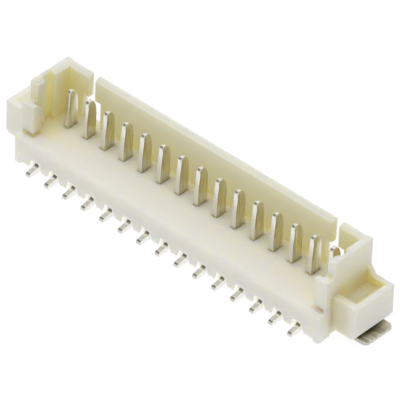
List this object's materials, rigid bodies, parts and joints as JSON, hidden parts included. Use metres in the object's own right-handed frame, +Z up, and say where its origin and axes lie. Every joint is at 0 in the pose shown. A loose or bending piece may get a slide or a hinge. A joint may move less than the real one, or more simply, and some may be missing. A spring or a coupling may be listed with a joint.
{
  "type": "pin header",
  "caption": "Surface-mount shrouded pin header: an ivory moulded housing with an open front, a row of flat upright blades with solder tails, and a hold-down tab under each end ear.",
  "frame": {"origin": "on the board plane, under the middle contact's blade, halfway along the row", "axes": "+X along the contact row, +Y from the solder tails towards the back wall, +Z up from the board"},
  "size_m": [0.0238, 0.0043, 0.0045],
  "materials": {
    "nylon": "natural ivory nylon, satin moulded skin, slightly translucent",
    "contact_tin": "bright tin plate over a copper alloy strip, bare cut edges at the tail ends",
    "nail_tin": "satin tin plate over a copper alloy sheet, with a fine rolled grain"
  },
  "bodies": {
    "root": {"housing": "nylon", "contact_01": "contact_tin", "contact_02": "contact_tin", "contact_03": "contact_tin", "contact_04": "contact_tin", "contact_05": "contact_tin", "contact_06": "contact_tin", "contact_07": "contact_tin", "contact_08": "contact_tin", "contact_09": "contact_tin", "contact_10": "contact_tin", "contact_11": "contact_tin", "contact_12": "contact_tin", "contact_13": "contact_tin", "contact_14": "contact_tin", "contact_15": "contact_tin", "fitting_nail_left": "nail_tin", "fitting_nail_right": "nail_tin"}
  },
  "joints": []
}
